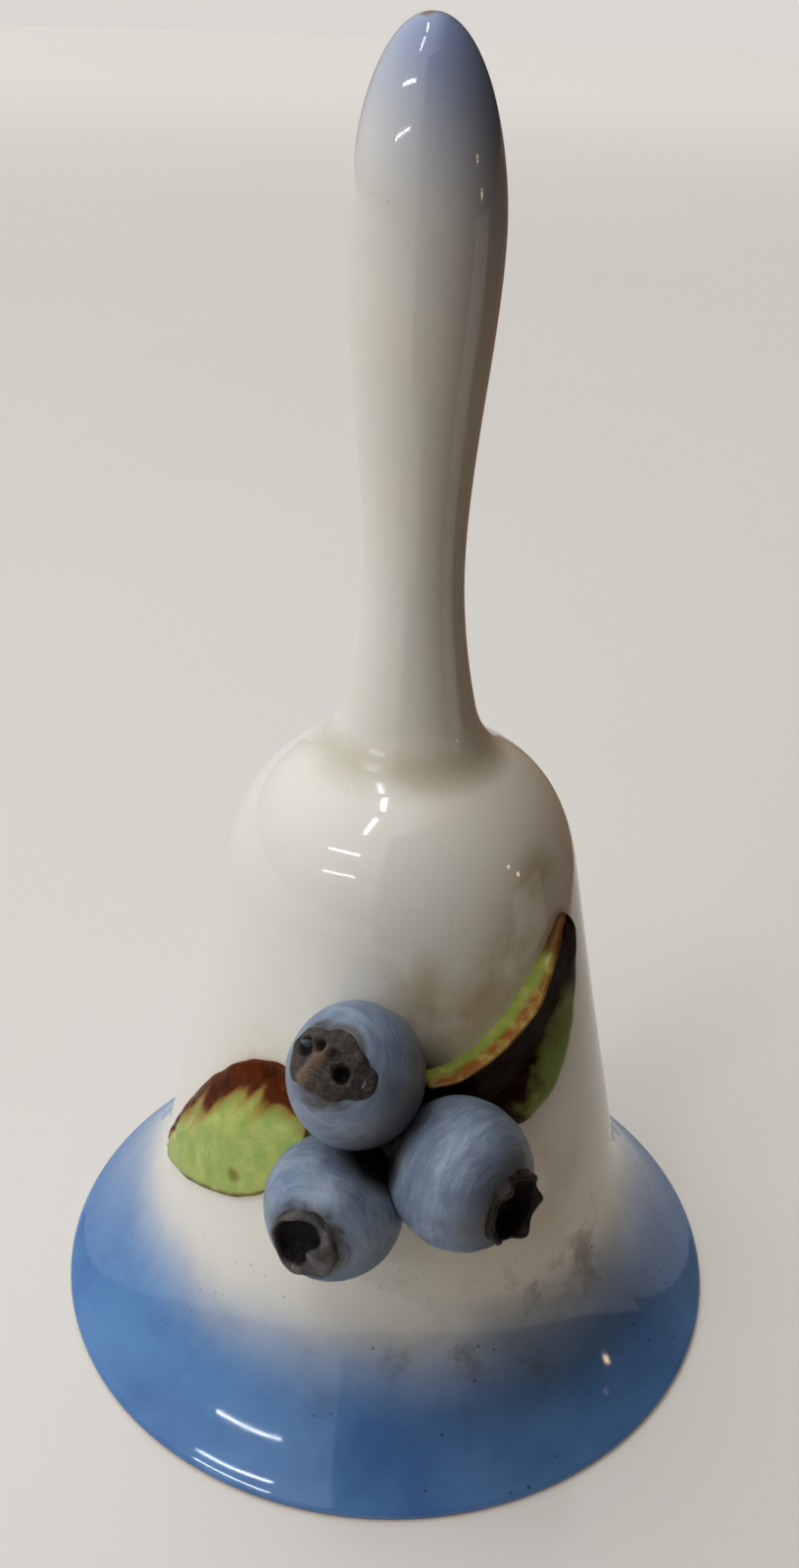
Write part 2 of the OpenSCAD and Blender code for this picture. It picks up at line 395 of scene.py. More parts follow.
def porcelain(name):
    """Glossy white glaze over a bare foot darkened by painted shade, with the airbrushed rim, tip and
    halo round the sprig, and painted shade below and between the berries.
    """
    m = Shader(name, Roughness=0.09, IOR=1.5)
    broad = m.noise(0.05, 2)
    fine = m.noise(0.9, 4, 0.6)
    cloth = m.noise(0.22, 4, 0.6)
    color = m.mix(m.span(broad, 0.35, 0.65, 0, 0.5), WHITE, srgb(226, 222, 211))
    color = m.mix(m.value("hidden"), airbrush(m, color, cloth), color)
    # Pooled glaze in the neck joint is grey-green
    pool = m.math("ABSOLUTE", m.math("SUBTRACT", m.z, float(FILLET[1]) + 0.3))
    pool = m.span(m.plus(pool, cloth, 1.6), 0.7, 3.6, 0.4, 0.0)
    color = m.mix(m.all_of(pool, m.span(broad, 0.3, 0.6, 0.5, 1.0)), color, srgb(168, 163, 132))
    # The foot is wiped clean of glaze; its bare colour is partly the biscuit and partly painted shade
    # under the rim
    bare = m.span(m.plus(m.z, fine, 0.3), 0.55, 0.8, 1.0, 0.0)
    color = m.mix(bare, color, BISCUIT_AND_SHADE)
    roughness = m.plus(m.span(fine, 0.3, 0.7, 0.05, 0.08), bare, 0.5)
    roughness = m.plus(roughness, pool, 0.45)
    ripple = m.math("MULTIPLY", m.noise(0.35, 2), 0.8)
    bump = m.plus(ripple, m.noise(2.5, 2), 0.06)
    return m.finish(color, roughness, bump, 0.006)


def airbrush(m, color, cloth):
    """Blue at the rim and the tip, a brown-green halo behind the leaves and berries, and painted shade
    below the berries and in the hollow between them.
    """
    grain = m.noise(4.5, 2, 0.7)
    edge = m.sway(m.z, m.noise(0.09, 2), 3.5)
    edge = m.sway(edge, grain, 1.2)
    edge = m.sway(edge, cloth, 1.6)
    rim = m.span(edge, 6.5, 20.5, 0.97, 0.0)
    tip_edge = m.plus(edge, m.x, 0.9)
    deep = m.mix(m.span(m.noise(0.1, 4, 0.6), 0.3, 0.8), BLUE, DEEP_BLUE)
    # The thin edge of the spray is greyer than its middle
    color = m.mix(rim, color, m.mix(m.span(rim, 0.1, 0.6), srgb(150, 156, 174), deep))
    color = m.mix(m.span(tip_edge, TOP_Z - 26, TOP_Z - 8, 0.0, 0.34), color, srgb(172, 182, 212))
    color = m.mix(m.span(tip_edge, TOP_Z - 15, TOP_Z + 1.5, 0.0, 0.75), color, srgb(98, 128, 182))
    color = m.mix(m.near((-0.6, -0.9, TOP_Z), 0.2, 0.9), color, srgb(120, 92, 66))
    cloud = m.span(m.noise(0.2, 3, 0.55), 0.3, 0.65, 0.2, 1.0)
    # The halo, and the spots of painted shade below the berries
    for azimuth, z, inner, outer, strength in HALO_AND_SHADE:
        spot = m.near(on_skirt(azimuth, z), inner, outer)
        color = m.mix(m.all_of(spot, cloud, strength), color, OLIVE)
    # Painted shade: the hollow on the skirt between the three balls is painted near-black
    color = m.mix(m.near(on_skirt(3, 40), 3.5, 8.0), color, srgb(20, 20, 26))
    return specks(m, color)


# Spots of the halo and of painted shade: azimuth, height, full and outer radius in mm, strength.
# The last two are painted shade on the skirt below the berries, in the halo's colour.
HALO_AND_SHADE = [(6, 52, 0.5, 5, 0.4), (14, 48, 0.5, 5.5, 0.5), (23, 49, 0.5, 5, 0.45), (32, 52, 0.5, 5.5, 0.4),
        (42, 56, 0.5, 6, 0.45), (51, 60, 0.5, 4.5, 0.45), (-38, 40, 0.5, 7, 0.25), (30, 33, 0.5, 7, 0.2),
        (22, 27, 2, 10, 0.22), (42, 27, 2, 10, 0.28)]


def specks(m, color):
    """Iron specks and grey smudges, mostly on the front right of the flare, and painted shade low on the
    front right.
    """
    front_right = m.all_of(m.span(m.x, -14, 8), m.span(m.y, -8, -16), m.span(m.z, 23, 15))
    # Painted shade: a broad, even darkening low on the front right of the flare
    dusk = m.all_of(front_right, m.span(m.z, 4, 8), m.span(m.z, 18, 12), m.span(m.x, 4, 16), 0.35)
    color = m.mix(dusk, color, srgb(70, 74, 88))
    smudge = m.all_of(m.span(m.noise(0.17, 5, 0.65), 0.5, 0.72), m.span(m.z, 5, 9), front_right, 0.6)
    color = m.mix(smudge, color, srgb(96, 92, 92))
    wander = m.add("VectorMath", {0: m.add("TexNoise", {"Vector": m.place, "Scale": 0.4}, out="Color"),
                                  1: (0.6, 0.6, 0.6), 2: m.place}, operation="MULTIPLY_ADD")
    cells = m.add("TexVoronoi", {"Vector": wander, "Scale": 0.62, "Randomness": 1.0}, out="Distance")
    where = m.span(m.noise(0.16, 2), 0.48, 0.56)
    dots = m.all_of(m.span(cells, 0.15, 0.06), where,
                    m.span(m.z, 26, 12, 0.1, 0.6), m.span(m.x, -30, 10, 0.3, 1.0))
    return m.mix(dots, color, srgb(62, 52, 50))


def leaf_paint(name):
    """A leaf's shader, and how far along, across and off the skirt each place is."""
    m = Shader(name, Roughness=0.16, IOR=1.45, Specular_IOR_Level=0.13)
    along, across, lift = (m.value("leaf", part) for part in range(3))
    inside = m.value("inside")
    return m, along, across, lift, inside


LEAF_GREEN = srgb(158, 180, 112)
LEAF_PALE = srgb(182, 192, 124)
BROWN = srgb(92, 40, 8)
RUST = srgb(150, 86, 28)
UMBER_AND_SHADE = srgb(32, 5, 0)


def left_leaf_paint():
    """Yellow-green with a brown upper margin that runs into the blade in a few strokes."""
    m, along, across = leaf_paint("leaf_left_glaze")[:3]
    cloth = m.noise(0.35, 4, 0.6)
    slant = m.plus(m.math("MULTIPLY", along, 5.5), across, 2.6)
    slanted = m.add("CombineXYZ", {0: slant, 1: m.math("MULTIPLY", across, 0.6)})
    strokes = m.noise(1.0, 2, 0.5, at=slanted)
    color = m.mix(m.span(cloth, 0.35, 0.65), LEAF_GREEN, LEAF_PALE)
    color = m.mix(m.span(m.noise(0.2, 2), 0.5, 0.7, 0, 0.5), color, srgb(140, 172, 96))
    reach = m.sway(m.sway(across, strokes, 0.85), cloth, 0.15)
    color = m.mix(m.span(reach, 0.56, 0.86, 0.0, 0.75), color, RUST)
    color = m.mix(m.span(reach, 0.74, 0.84), color, BROWN)
    margin = m.all_of(m.span(reach, 0.84, 0.95), m.span(m.noise(0.5, 3), 0.4, 0.6))
    color = m.mix(margin, color, srgb(70, 30, 10))
    low = m.span(m.sway(across, cloth, 0.1), 0.015, 0.06, 0.7, 0.0)
    color = m.mix(low, color, BROWN)
    color = m.mix(m.all_of(m.span(along, 0.95, 1.0), 0.7), color, BROWN)
    spot = m.near(on_skirt(-40, 27.5, 1), 0.3, 1.2)
    color = m.mix(m.all_of(spot, 0.5), color, BROWN)
    return m.finish(color, m.span(cloth, 0.3, 0.7, 0.12, 0.24), m.noise(0.8, 4), 0.2)


def right_leaf_paint():
    """Green outer face, rust along the curled margin, umber in the hollow that is partly brown paint and
    partly painted shade, green on the far half, a dark corner at the base and a dark tip, and painted
    shade in the hollow at the base."""
    m, along, across, lift, inside = leaf_paint("leaf_right_glaze")
    cloth = m.noise(0.4, 4, 0.6)
    wander = m.math("MULTIPLY", m.math("SUBTRACT", cloth, 0.5), 0.5)
    # From the crest of the curl down into the hollow: umber, then olive, then green. The umber is partly
    # brown paint and partly painted shade of the hollow, and is wider near the base
    depth = m.math("ADD", m.math("SUBTRACT", across, m.span(along, 0.24, 0.46, 0.0, 0.2)), wander)
    face = m.mix(m.span(depth, 0.1, 0.3), srgb(126, 146, 76), srgb(92, 96, 42))
    face = m.mix(m.span(depth, 0.26, 0.36), face, UMBER_AND_SHADE)
    crest = m.span(m.plus(lift, wander, 1.6), 0.9, 1.7)
    outside = m.mix(crest, srgb(132, 148, 76), srgb(136, 94, 42))
    outside = m.mix(m.span(m.noise(0.6, 3), 0.45, 0.7, 0.0, 0.6), outside, srgb(176, 172, 110))
    color = m.mix(inside, outside, face)
    corner = m.all_of(m.span(along, 0.14, 0.06), m.span(across, 0.5, 0.3))
    tip_at = m.plus(along, wander, 0.3)
    dark_tip = m.all_of(m.span(tip_at, 0.66, 0.8), inside)
    # Painted shade: the hollow at the base, beside the berries, is painted umber
    base = m.all_of(m.span(along, 0.2, 0.1), m.span(across, 0.35, 0.55), inside)
    color = m.mix(m.span(tip_at, 0.7, 0.86, 0.0, 0.9), color, BROWN)
    color = m.mix(m.math("MAXIMUM", m.math("MAXIMUM", corner, dark_tip), base), color, UMBER_AND_SHADE)
    color = m.mix(m.all_of(m.span(across, 0.06, 0.03), 0.8), color, srgb(70, 40, 16))
    roughness = m.span(cloth, 0.3, 0.7, 0.12, 0.22)
    return m.finish(color, roughness, m.noise(0.5, 3), 0.1)


# Berries: where each is pressed on (azimuth, height, depth), its radius, the way its crown
# faces (azimuth, elevation), how its height and width differ from a ball's, and half the
# width, half the height and the depth of the pit under its crown
BERRIES = {
    "upper": dict(at=(-7.7, 46.9, 1.0), r=6.7, faces=(-35, 43), tall=1.03, wide=0.97,
                  seed=3, pit=(4.0, 2.3, 1.7)),
    "lower_left": dict(at=(-10.4, 32.8, 1.6), r=7.0, faces=(-23, 7), tall=0.98, wide=0.97,
                       seed=7, pit=(3.3, 3.3, 2.3)),
    "lower_right": dict(at=(13.5, 37.6, 0.4), r=7.2, faces=(46, 4), tall=0.99, wide=0.96,
                        seed=5, pit=(3.3, 3.3, 2.3)),
}


def berry_centre(at, r, **_):
    out = r - at[2]
    return on_skirt(at[0], at[1] - out * math.sin(LEAN), out)


def crown_axes(faces, **_):
    """Right, up and outward directions of a crown, as seen by someone who looks at its face."""
    azimuth, elevation = np.radians(faces)
    right = np.array([math.cos(azimuth), math.sin(azimuth), 0])
    out = np.array([math.sin(azimuth) * math.cos(elevation), -math.cos(azimuth) * math.cos(elevation),
                    math.sin(elevation)])
    return right, np.cross(out, right), out


# The side of a ball that is painted darker, as painted shade
PAINTED_SHADE_SIDE = (0.74, -0.15, -0.65)


def berry_paint(name, centre, out, reach):
    """Satin blue-grey, brushed on in strokes that go round the crown, greyer beside it, with painted
    shade between the balls and on their lower right side.
    """
    m = Shader(name, Roughness=0.42, IOR=1.5, Specular_IOR_Level=0.75)
    centre, out = tuple(float(c) for c in centre), tuple(float(c) for c in out)
    away = m.add("VectorMath", {0: m.place, 1: centre}, operation="SUBTRACT")
    direction = m.add("VectorMath", {0: away}, operation="NORMALIZE")
    along = m.dot(away, out)
    facing = m.dot(direction, out)
    # Squeezed along the axis, the noise makes strokes round it
    axis = m.add("VectorMath", {0: out, "Scale": m.math("MULTIPLY", along, 3.2)}, operation="SCALE")
    brushed = m.add("VectorMath", {0: away, 1: axis}, operation="ADD")
    cloth = m.noise(0.3, 4, 0.6)
    strokes = m.noise(0.22, 4, 0.62, at=brushed, twist=0.9)
    fine = m.noise(0.6, 4, 0.6, at=brushed, twist=0.6)
    color = m.mix(m.span(strokes, 0.3, 0.7), srgb(112, 131, 157), srgb(138, 157, 178))
    color = m.mix(m.span(cloth, 0.4, 0.7, 0, 0.45), color, srgb(86, 103, 134))
    color = m.mix(m.span(fine, 0.5, 0.75, 0, 0.22), color, srgb(160, 170, 184))
    ragged = m.sway(facing, strokes, 0.4)
    color = m.mix(m.span(ragged, reach[0], reach[1], 0.0, 0.85), color, srgb(50, 50, 56))
    # Painted shade between the balls, which reaches a little way up their sides and is darkest where the
    # three meet
    shade_reach = 5.9 if name.endswith("right") else 7.2
    color = m.mix(m.near(on_skirt(3, 40), 4.0, shade_reach), color, srgb(24, 28, 44))
    between = sum(berry_centre(**spec) for spec in BERRIES.values()) / len(BERRIES)
    color = m.mix(m.near(between, 2.6, 5.0), color, srgb(14, 18, 34))
    # Painted shade: the upper ball is painted much darker on its lower right side, over the other ball;
    # the lower balls a little
    low, high, most = (0.0, 0.85, 0.92) if name.endswith("upper") else (0.2, 0.95, 0.2)
    painted_shade = m.span(m.dot(direction, PAINTED_SHADE_SIDE), low, high, 0.0, most)
    color = m.mix(painted_shade, color, srgb(22, 28, 44))
    bump = m.plus(strokes, fine, 0.4)
    return m.finish(color, m.span(cloth, 0.3, 0.7, 0.34, 0.48), bump, 0.12)


def crown_paint(name, light, dark, black, gloss=0.3):
    """Grey-brown lobes over a black pit, with the strokes of a dry brush."""
    m = Shader(name, Roughness=0.35, IOR=1.5, Specular_IOR_Level=gloss)
    depth = m.value("crown", 0)
    lobe = m.value("crown", 1)
    strokes = m.noise(1.2, 4, 0.65, twist=1.0)
    ragged = m.sway(depth, strokes, 0.7)
    color = m.mix(m.span(strokes, 0.45, 0.75, 0.0, 0.55), dark, light)
    color = m.mix(m.all_of(m.span(lobe, 0.35, 0.85), 0.75), color, light)
    pit = m.math("MAXIMUM", m.span(ragged, 0.2, -0.25), m.span(m.value("crown", 2), 0.2, 0.8))
    color = m.mix(pit, color, black)
    roughness = m.plus(m.span(strokes, 0.3, 0.7, 0.2, 0.4), pit, 0.4)
    return m.finish(color, roughness, strokes, 0.25)


def smooth_step(value, low, high):
    t = np.clip((value - low) / (high - low), 0, 1)
    return t * t * (3 - 2 * t)


def make_berry(name):
    spec = BERRIES[name]
    centre = berry_centre(**spec)
    right, up, out = crown_axes(**spec)
    r = spec["r"]
    polar = np.linspace(0, math.pi, 90)[1:-1]
    around = np.linspace(0, 2 * math.pi, 128, endpoint=False)
    t, a = np.meshgrid(polar, around, indexing="ij")
    # An oval pit under the crown, with steep sides
    pit_wide, pit_high, pit_depth = spec["pit"]
    share = r * np.sin(t) * np.hypot(np.cos(a) / pit_wide, np.sin(a) / pit_high)
    size = r - pit_depth * (1 - smooth_step(share, 0.72, 1.0)) * (t < 1.2)
    ring = np.sin(t)[..., None] * (np.cos(a)[..., None] * right + np.sin(a)[..., None] * up)
    points = (size[..., None] * (ring + np.cos(t)[..., None] * out)).reshape(-1, 3)
    points = np.vstack([points, (r - pit_depth) * out, -r * out])
    points = points * [spec["wide"], 1.0, spec["tall"]]
    points = wavy(points, 0.16, spec["seed"], 5.0)
    points = wavy(points, 0.05, spec["seed"] + 20, 1.6)
    points = pressed(points + centre, name)
    count = len(polar) * len(around)
    reach = {"upper": (0.76, 0.88), "lower_left": (0.74, 0.9), "lower_right": (0.5, 0.95)}[name]
    faces = capped(len(polar), len(around), count, count + 1)
    paint = berry_paint("berry_glaze_" + name, centre, out, reach)
    piece("berry_" + name, "bell", points, faces, paint, ["berry_" + name])


def pressed(points, name):
    """The two lower balls share a flat where they were pressed together."""
    other = {"lower_left": "lower_right", "lower_right": "lower_left"}.get(name)
    if not other:
        return points
    mine, yours = BERRIES[name], BERRIES[other]
    a, b = berry_centre(**mine), berry_centre(**yours)
    gap = np.linalg.norm(b - a)
    flat = (gap * gap + mine["r"] ** 2 - yours["r"] ** 2) / (2 * gap) - 0.01
    over = np.maximum((points - a) @ unit(b - a) - flat, 0)
    return points - over[:, None] * unit(b - a)


def crown_mesh(name, outline, around=150):
    """A closed shell on a berry's face. outline(angle) gives [distance from the axis, height over
    the ball, 1 on a lobe, 1 in the pit] from the middle of its face, over its lip, to the middle
    of its hidden back."""
    spec = BERRIES[name]
    centre = berry_centre(**spec)
    right, up, out = crown_axes(**spec)
    r = spec["r"]
    angles = np.linspace(0, 2 * math.pi, around, endpoint=False)
    rings = np.array([outline(a) for a in angles])
    ends = rings[:, [0, -1]].mean(0)
    ends[:, 0] = 0
    rho, h, lobe, inner = (np.append(rings[:, 1:-1, k].T.ravel(), ends[:, k]) for k in range(4))
    a = np.append(np.tile(angles, rings.shape[1] - 2), [0, 0])
    high = np.sqrt(np.maximum(r * r - rho * rho, 0)) + h
    local = rho[:, None] * (np.cos(a)[:, None] * right + np.sin(a)[:, None] * up) + high[:, None] * out
    local = local * [spec["wide"], 1.0, spec["tall"]]
    local = wavy(local, 0.3, spec["seed"] + 40, 1.7)
    count = (rings.shape[1] - 2) * around
    faces = capped(rings.shape[1] - 2, around, count, count + 1)
    return local + centre, faces, np.column_stack([h, lobe, inner])


def lobes(angle, places, width):
    """1 on a lobe, 0 between lobes; places are the lobes' directions in degrees."""
    turn = np.degrees(angle) - np.array(places)
    turn = (turn + 180) % 360 - 180
    return float(np.exp(-(turn / width) ** 2).max())


def star_outline(angle):
    """Sepals folded flat over the crown: a low crumpled disc with four pits in it."""
    notch = lobes(angle, (172, 112, 42, -32, -84), 11)
    oval = 1 / math.hypot(math.cos(angle), math.sin(angle) / 0.62)
    edge = (4.9 + 0.3 * lobes(angle, (-121,), 25) - 0.4 * notch) * oval
    share = np.concatenate([np.linspace(0, 0.93, 26), [0.97, 1.0, 0.98, 0.8, 0.45, 0]])
    rho = share * edge
    top = len(share) - 4
    x, y = rho * math.cos(angle), rho * math.sin(angle)
    h = 0.36 - 0.3 * share ** 5 - 0.12 * notch * smooth_step(share, 0.4, 0.95)
    for at, radius, deep in STAR_PITS:
        away = np.hypot(x - at[0], y - at[1])
        h = h - deep * (1 - smooth_step(away, 0.25 * radius, 1.5 * radius))
    # A raised fold from the middle down to the lower left sepal
    h = h + 0.4 * np.exp(-(beside_fold(x, y) / 0.6) ** 2) * (1 - share ** 6)
    h[top - 1:] = [-0.02, -0.45, -1.7, -2.1, -2.1]
    tan = np.exp(-(beside_fold(x, y) / 0.95) ** 2)
    return np.column_stack([rho, h, tan, tan * 0])


# Pits in the upper crown: place across its face, radius, depth
STAR_PITS = [((-2.7, 0.35), 0.8, 1.3), ((-0.8, 1.0), 0.6, 0.8),
             ((2.1, -0.35), 0.75, 1.3), ((0.9, 1.0), 0.5, 0.4)]


def beside_fold(x, y):
    """Distance from the line of the raised fold."""
    start, end = np.array([-0.2, 0.8]), np.array([-1.6, -2.5])
    span = end - start
    t = np.clip(((x - start[0]) * span[0] + (y - start[1]) * span[1]) / (span @ span), 0, 1)
    return np.hypot(x - start[0] - t * span[0], y - start[1] - t * span[1])


def cup_outline(places, tall, flare, width=17, depth=1.5, folded=None):
    """A ragged cup of standing lobes round a deep pit. A folded lobe lies over part of the pit."""
    def outline(angle):
        on = lobes(angle, places, width)
        top = 0.15 + tall * on
        lip = 3.15 + flare * on
        fold = lobes(angle, folded, 62) if folded else 0
        pit = 1 - 0.75 * fold
        rho = [0, 0.8 * pit, 1.5 * pit, 2.1 * pit, 2.5 * pit, 2.75 * pit, (2.75 * pit + lip) / 2,
               lip - 0.22, lip, lip + 0.2, (3.5 + lip) / 2, 3.6, 3.5, 2.4, 1.2, 0]
        h = [-depth, -depth, 0.15 - depth, 0.45 - depth, -0.6, 0.0, 0.2 + 0.4 * top,
             top + 0.2, top + 0.32, top + 0.2, 0.1 + 0.4 * top, -0.15, -0.7, -2.1, -2.4, -2.4]
        h = np.array(h) + fold * np.array([0] * 5 + [0.25, 0.25] + [0] * 9)
        inner = (np.arange(len(h)) < 6) * (1 - fold)
        return np.column_stack([rho, h, np.full(len(h), on), inner])
    return outline


def make_crowns():
    grey = (srgb(122, 106, 96), srgb(56, 54, 60), srgb(10, 9, 12))
    dusk = (srgb(106, 104, 110), srgb(62, 64, 74), srgb(5, 4, 7), 0.45)
    black = (srgb(48, 44, 46), srgb(20, 18, 20), srgb(3, 2, 2))
    outlines = {
        "upper": (star_outline, grey),
        "lower_left": (cup_outline((112, 40, -30, -105, 175), 0.45, 0.1, 21, 1.7, (-25,)), dusk),
        "lower_right": (cup_outline((112, 52, -8, -72, -150), 1.0, 0.25, 17, 1.7), black),
    }
    for name, (outline, tones) in outlines.items():
        points, faces, crown = crown_mesh(name, outline)
        paint = crown_paint("calyx_glaze_" + name, *tones)
        node = "calyx_" + name
        piece(node, "bell", points, faces, paint, [node], {"crown": crown})


# -------- leaves

LEAF_T = 1.1
CURL = 2.6
LEFT_LEAF = ([[-23.5, 31], [-33, 24.1], [-55, 22.2], [-72.6, 19.4]],
             [[-20.5, 37], [-29, 48.4], [-62, 36.4], [-73.6, 21.6]])
RIGHT_LEAF = ([[34, 35.6], [48, 35.6], [63, 42], [65, 53.8]],
              [[8, 43.2], [27, 43.9], [42, 51.3], [60, 55.0]])


def leaf_mesh(name, margins, section, steps, seed, paint):
    """A blade between two margins on the skirt. section(u, width) gives the place across, lift and
    side of each point round the blade there; point i lies over point -1 - i."""
    lower, upper = margins
    rows, carried = [], []
    for u in steps:
        low, high = on_curve(lower, u), on_curve(upper, u)
        width = float(np.linalg.norm(on_skirt(*high) - on_skirt(*low)))
        v, lift, side = section(u, width)
        at = low + v[:, None] * (high - low)
        rows.append(on_skirt(at[:, 0], at[:, 1], lift))
        carried.append(np.column_stack([np.full(len(v), u), v, lift, side]))
    around = len(rows[0])
    points = wavy(np.vstack(rows), 0.16, seed, 2.4)
    carried = np.vstack(carried)
    faces = ring_faces(len(rows), around)
    last = (len(rows) - 1) * around
    for start in (0, last):
        for i in range(around // 2 - 1):
            cap = [start + i, start + i + 1, start + around - 2 - i, start + around - 1 - i]
            faces.append(cap)
    piece(name, "bell", points, faces, paint, [name],
          {"leaf": carried[:, :3], "inside": carried[:, 3]})


def rounded_end(u, start):
    """1 up to start, then falling to almost nothing at 1 as a round end does."""
    past = max(0.0, (u - start) / (1 - start))
    return math.sqrt(max(1 - past * past, 0.0009))


def left_section(u, width):
    """A pillow with soft edges, a low midrib and a slightly raised upper margin."""
    angle = np.linspace(0, math.pi, 42)
    v = 0.5 - 0.5 * np.sign(np.cos(angle)) * np.abs(np.cos(angle)) ** 0.75
    end = rounded_end(u, 0.97)
    thick = LEAF_T * (1 - 0.3 * u) * end
    crown = np.sin(angle) ** 0.42
    rib = 0.22 * np.exp(-((v - 0.55) / 0.07) ** 2) + 0.3 * np.exp(-((v - 0.88) / 0.1) ** 2)
    top = thick * (crown + rib * crown)
    v_end = 0.5 + (v - 0.5) * end
    low = np.full(len(v), -0.15)
    return (np.concatenate([v_end, v_end[::-1]]), np.concatenate([top, low]),
            np.concatenate([np.ones(len(v)), np.zeros(len(v))]))


def right_section(u, width):
    """A ridge along the upper margin, then a trough; the far half lies on the skirt."""
    end = rounded_end(u, 0.95)
    fall = min(1.0, width / 8)
    curl = CURL * (1 - 0.68 * smooth_step(u, 0.5, 1.0)) * end
    # Place from the upper margin in mm, height, and 0 outside the crest or 1 inside it
    profile = np.array([(-0.35, -0.1, 0), (-0.28, 0.5, 0), (-0.14, 1.15, 0), (0.02, 1.75, 0),
                        (0.22, 2.25, 0), (0.48, 2.5, 0.2), (0.75, 2.3, 0.8), (0.95, 1.75, 1),
                        (1.2, 1.15, 1), (1.7, 0.7, 1)])
    profile[:, 0] *= fall
    profile[:, 1] *= curl / 2.5
    far = np.array([(0.42, 0.62, 1), (0.55, 0.7, 1), (0.72, 0.92, 1),
                    (0.88, 0.95, 1), (0.97, 0.62, 1), (1.0, -0.1, 1)])
    far[:, 0] *= width
    far[:, 1] *= end
    far = far[far[:, 0] > profile[-1, 0] + 0.3]
    top = through(np.vstack([profile, far])[:, :2], 60)
    sides = np.interp(top[:, 0], profile[:, 0], profile[:, 2], right=1.0)
    low = top.copy()
    low[:, 1] = -0.15
    ring = np.vstack([top, low[::-1]])
    w = width / 2 + (ring[:, 0] - width / 2) * (0.3 + 0.7 * end)
    return 1 - w / width, ring[:, 1], np.concatenate([sides, sides[::-1]])


def make_leaves():
    steps = 1 - (1 - np.linspace(0, 1, 64)) ** 1.35
    leaf_mesh("leaf_left", LEFT_LEAF, left_section, steps, 11, left_leaf_paint())
    leaf_mesh("leaf_right", RIGHT_LEAF, right_section, steps, 12, right_leaf_paint())


# -------- body and handle

BODY_AROUND = 320


def make_body():
    inner = beside(body_line(), WALL)
    foot_z = 0.9
    inner = inner[(inner[:, 1] > foot_z) & (inner[:, 0] > HOLE_R + 0.3)]
    foot_r = float(inner[0][0] + foot_z * (inner[0][0] - inner[1][0]) / (inner[1][1] - inner[0][1]))
    roof_z = float(inner[-1][1])
    outline = np.vstack([lip_line()[:-1], outer_body, [[HOLE_R, FILLET[1] - 0.1]], [[HOLE_R, roof_z]],
                         inner[::-1], [[foot_r, 0]]])
    outline = rounded(outline, 0.35, closed=True, least=0.5)
    points, faces = turned(outline, BODY_AROUND, closed=True)
    # 1 on the inside, where nothing is painted
    r, z = outline[:, 0], outline[:, 1]
    line = np.vstack([lip_line(), outer_body])
    beneath = np.interp(z, line[:, 1], line[:, 0]) - r > 0.5
    paint = porcelain("white_glaze_body")
    piece("bell_body", "bell", out_of_round(points), faces, paint, ["bell_body"],
          {"hidden": np.repeat(beneath, BODY_AROUND)})


def out_of_round(points):
    """The slight unevenness of a cast and hand-finished piece, none of it at the foot or the rim."""
    moved = wavy(points, 0.14, 2, 16)
    keep = np.clip((points[:, 2] - 2) / 12, 0, 1)[:, None]
    return points + (moved - points) * keep


def make_handle():
    roof, foot = SEAT_Z + 7.3, SEAT_Z - 3.2
    spigot_r = HOLE_R - 0.05
    spigot = [[0, roof], [BORE_R, roof], [BORE_R, foot], [spigot_r, foot], [spigot_r, FILLET[1] - 0.08]]
    outline = np.vstack([spigot, outer_handle])
    outline = rounded(outline, 0.06, least=0.5)
    points, faces = turned(outline, 256)
    paint = porcelain("white_glaze_handle")
    piece("handle", "bell", out_of_round(points), faces, paint, ["handle"])


# -------- clapper, chain and staple

def steel(name):
    m = Shader(name, Metallic=1.0, Roughness=0.3)
    rub = m.noise(1.2, 4, 0.6)
    drawn = m.noise(3.0, 3, 0.6, at=m.stretched(1.0, 1.0, 0.25))
    color = m.mix(m.span(rub, 0.35, 0.7), srgb(176, 174, 170), srgb(140, 136, 130))
    color = m.mix(m.span(m.noise(0.5, 4), 0.6, 0.75, 0, 0.6), color, srgb(96, 84, 72))
    return m.finish(color, m.span(drawn, 0.3, 0.7, 0.22, 0.45), drawn, 0.02)


def cement():
    m = Shader("cement", Roughness=0.85)
    grain = m.noise(1.6, 5, 0.7)
    color = m.mix(m.span(grain, 0.35, 0.65), srgb(205, 199, 186), srgb(178, 170, 154))
    return m.finish(color, None, grain, 0.3)


def arc(centre, r, start, stop, count=24):
    a = np.radians(np.linspace(start, stop, count))
    return np.column_stack([centre[0] + r * np.cos(a), centre[1] + r * np.sin(a)])


def in_plane(path, across_y):
    """A path of [across, height] stood up in the XZ or the YZ plane."""
    flat = np.zeros(len(path))
    columns = (flat, path[:, 0], path[:, 1]) if across_y else (path[:, 0], flat, path[:, 1])
    return np.column_stack(columns)


def make_staple(metal):
    low, high = box_mm("hanger_staple")
    wire = (high[1] - low[1]) / 2
    bend = high[0] - wire
    foot = low[2] + wire + bend
    path = np.vstack([[[-bend, high[2]]], arc((0, foot), bend, 180, 360, 40), [[bend, high[2]]]])
    points, faces = swept(in_plane(path, False), wire)
    piece("hanger_staple", "bell", points, faces, metal, ["hanger_staple"])


def make_link(node, body, metal):
    """A bent wire link, whose two ends meet in a butt joint on one straight side."""
    low, high = box_mm(node)
    half = (high - low) / 2
    wire = float(min(half[0], half[1]))
    across_y = bool(half[1] > half[0])
    bend = float(max(half[0], half[1])) - wire
    upper, lower = high[2] - wire - bend, low[2] + wire + bend
    middle = (upper + lower) / 2
    over, under = arc((0, upper), bend, 0, 180, 40), arc((0, lower), bend, 180, 360, 40)
    path = np.vstack([[[bend, middle + 0.05]], over, under, [[bend, middle - 0.05]]])
    points, faces = swept(in_plane(path, across_y), wire)
    piece(node, body, points, faces, metal, [node])


